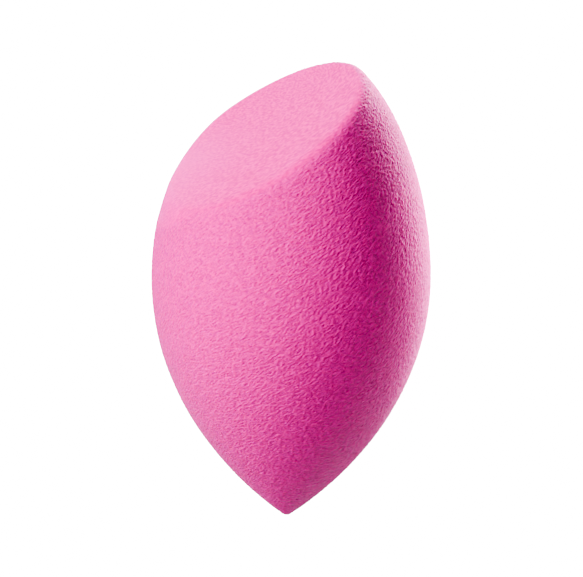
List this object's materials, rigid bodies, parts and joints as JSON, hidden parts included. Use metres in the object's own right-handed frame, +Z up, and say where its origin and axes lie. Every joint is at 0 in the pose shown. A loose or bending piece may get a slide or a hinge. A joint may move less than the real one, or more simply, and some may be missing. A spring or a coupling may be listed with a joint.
{
  "type": "makeup sponge",
  "caption": "Drop-shaped foam makeup sponge with a blunt tip and a slanted flat cut across its wide end.",
  "frame": {"origin": "centre of the belly, the widest circle, on the long axis", "axes": "the sponge lies on its side on a table; +Z is up, +X runs along the long axis from the tip to the cut end, and the cut face looks along +X and up; both sides of the XZ plane are alike"},
  "size_m": [0.0689, 0.042, 0.0415],
  "materials": {
    "pink_foam": "matte, fine-grained soft foam"
  },
  "bodies": {
    "root": {"foam_body": "pink_foam"}
  },
  "joints": []
}
